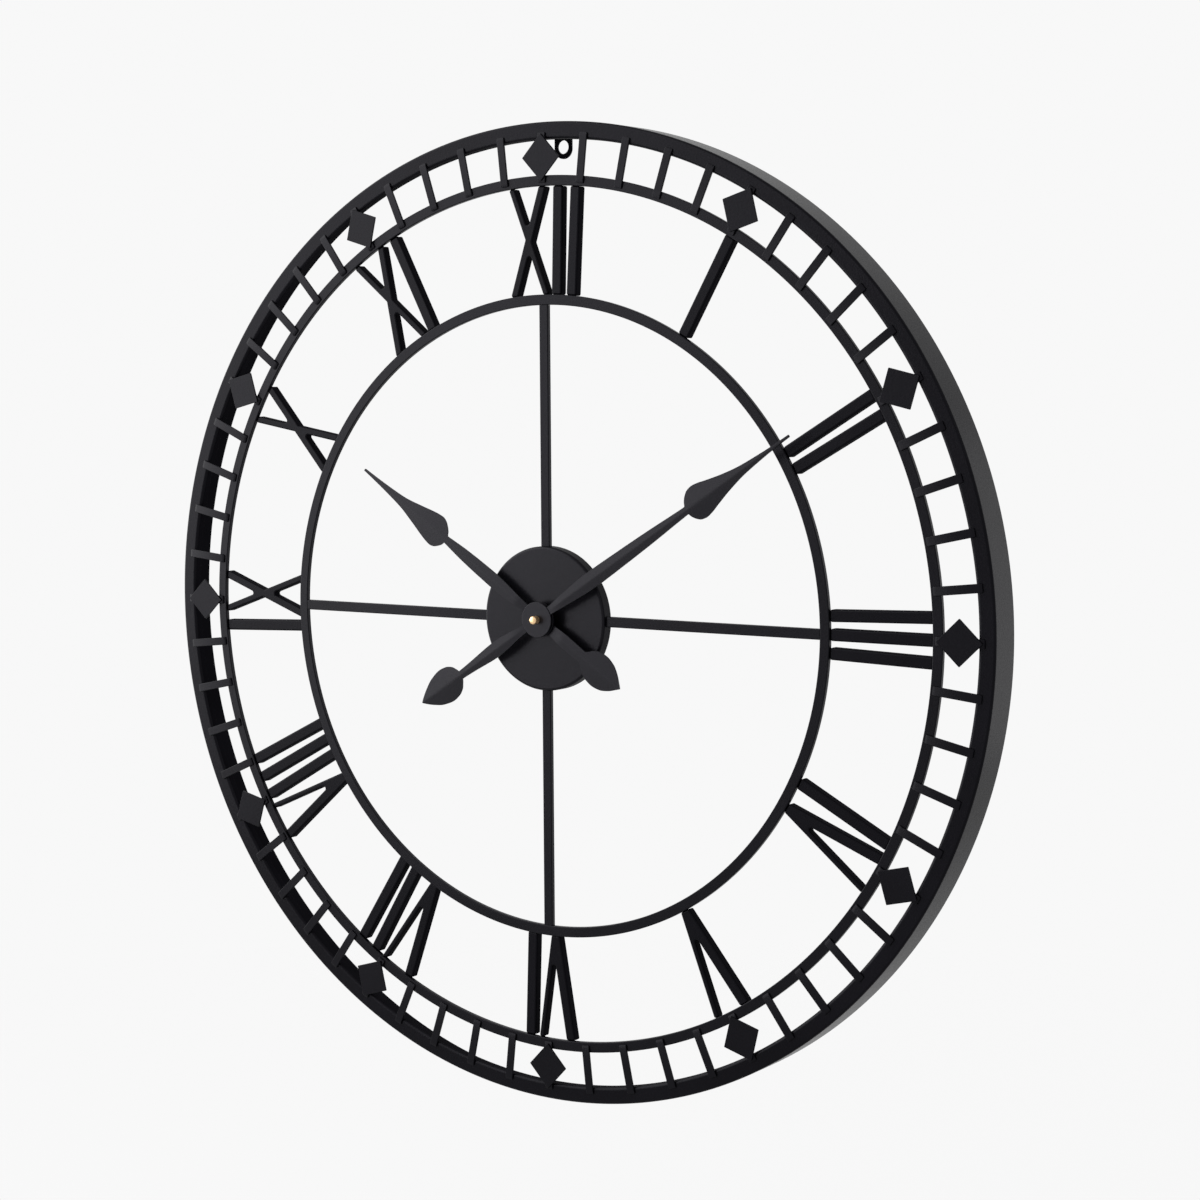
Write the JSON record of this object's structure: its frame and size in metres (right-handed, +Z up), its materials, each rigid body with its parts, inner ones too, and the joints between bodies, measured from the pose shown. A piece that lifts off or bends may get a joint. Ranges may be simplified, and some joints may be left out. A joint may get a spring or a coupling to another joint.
{
  "type": "wall clock",
  "caption": "Large open metal wall clock: rolled rim, minute track, pressed Roman numerals between two rings, spoked hub with a quartz movement and spade hands; hangs from a tab.",
  "frame": {"origin": "centre of the bounding box: on the dial axis, half way between the wall plane and the tip of the hand nut", "axes": "+X to the viewer's right, +Y from the dial back to the wall, +Z up to twelve o'clock"},
  "size_m": [0.8, 0.0516, 0.8],
  "materials": {
    "black_paint": "satin black powder coat",
    "numeral_paint": "satin black powder coat",
    "mark_paint": "satin black powder coat",
    "hand_black": "satin black paint on aluminium sheet",
    "brass": "polished",
    "case_plastic": "moulded, fine grain",
    "cover_plastic": "moulded, fine grain",
    "dark_plastic": "moulded",
    "white_plastic": "natural moulded acetal",
    "rubber": "matt",
    "steel": "bright turned or punched",
    "bright_steel": "nickel plated",
    "copper_wire": "enamelled copper winding",
    "board": "solder mask",
    "cell_jacket": "plain printed jacket"
  },
  "bodies": {
    "frame": {"rim_hoop": "black_paint", "track_ring": "black_paint", "inner_ring": "black_paint", "minute_bars": "mark_paint", "hour_diamonds": "mark_paint", "numeral_01": "numeral_paint", "numeral_02": "numeral_paint", "numeral_03": "numeral_paint", "numeral_04": "numeral_paint", "numeral_05": "numeral_paint", "numeral_06": "numeral_paint", "numeral_07": "numeral_paint", "numeral_08": "numeral_paint", "numeral_09": "numeral_paint", "numeral_10": "numeral_paint", "numeral_11": "numeral_paint", "numeral_12": "numeral_paint", "spokes": "black_paint", "hub_pan": "black_paint", "hanger_tab": "black_paint", "movement_case": "case_plastic", "movement_cover": "cover_plastic", "threaded_bush": "brass", "rubber_pad": "rubber", "bush_washer": "brass", "bush_nut": "brass", "stator": "steel", "coil_core": "steel", "motor_coil": "copper_wire", "circuit_board": "board", "quartz_crystal": "bright_steel", "battery": "cell_jacket", "contact_positive": "bright_steel", "contact_negative": "bright_steel"},
    "minute_group": {"minute_hand": "hand_black", "minute_collet": "brass", "hand_nut": "brass", "minute_arbor": "steel"},
    "hour_group": {"hour_hand": "hand_black", "hour_collet": "brass", "hour_wheel": "white_plastic"},
    "minute_wheel_group": {"minute_wheel": "white_plastic"},
    "setting_group": {"setting_knob": "dark_plastic"},
    "centre_group": {"centre_wheel": "white_plastic"},
    "third_group": {"third_wheel": "white_plastic"},
    "fourth_group": {"fourth_wheel": "white_plastic"},
    "fifth_group": {"fifth_wheel": "white_plastic"},
    "rotor_group": {"motor_rotor": "dark_plastic"}
  },
  "joints": [
    {"name": "minute_hand_turn", "type": "hinge", "parent": "frame", "child": "minute_group", "pos_m": [0, 0, 0], "axis": [0, 1, 0], "continuous": true},
    {"name": "hour_hand_turn", "type": "hinge", "parent": "frame", "child": "hour_group", "pos_m": [0, 0, 0], "axis": [0, 1, 0], "continuous": true},
    {"name": "minute_wheel_turn", "type": "hinge", "parent": "frame", "child": "minute_wheel_group", "pos_m": [0.0096, 0, 0], "axis": [0, 1, 0], "continuous": true},
    {"name": "setting_knob_turn", "type": "hinge", "parent": "frame", "child": "setting_group", "pos_m": [0.0192, 0, 0], "axis": [0, 1, 0], "continuous": true},
    {"name": "rotor_turn", "type": "hinge", "parent": "frame", "child": "rotor_group", "pos_m": [0.01535, 0, 0.01663], "axis": [0, 1, 0], "continuous": true},
    {"name": "fifth_wheel_turn", "type": "hinge", "parent": "frame", "child": "fifth_group", "pos_m": [0.00815, 0, 0.01663], "axis": [0, 1, 0], "continuous": true},
    {"name": "fourth_wheel_turn", "type": "hinge", "parent": "frame", "child": "fourth_group", "pos_m": [-0.0006, 0, 0.01663], "axis": [0, 1, 0], "continuous": true},
    {"name": "third_wheel_turn", "type": "hinge", "parent": "frame", "child": "third_group", "pos_m": [-0.0051, 0, 0.00883], "axis": [0, 1, 0], "continuous": true},
    {"name": "centre_wheel_turn", "type": "hinge", "parent": "frame", "child": "centre_group", "pos_m": [0, 0, 0], "axis": [0, 1, 0], "continuous": true}
  ],
  "couplings": [
    {"joint": "hour_hand_turn", "follows": "minute_hand_turn", "ratio": 0.083333},
    {"joint": "minute_wheel_turn", "follows": "minute_hand_turn", "ratio": -0.33333},
    {"joint": "setting_knob_turn", "follows": "minute_hand_turn", "ratio": 1},
    {"joint": "fifth_wheel_turn", "follows": "rotor_turn", "ratio": -0.2},
    {"joint": "fourth_wheel_turn", "follows": "rotor_turn", "ratio": 0.033333},
    {"joint": "third_wheel_turn", "follows": "rotor_turn", "ratio": -0.0041667},
    {"joint": "centre_wheel_turn", "follows": "rotor_turn", "ratio": 0.00055556}
  ]
}
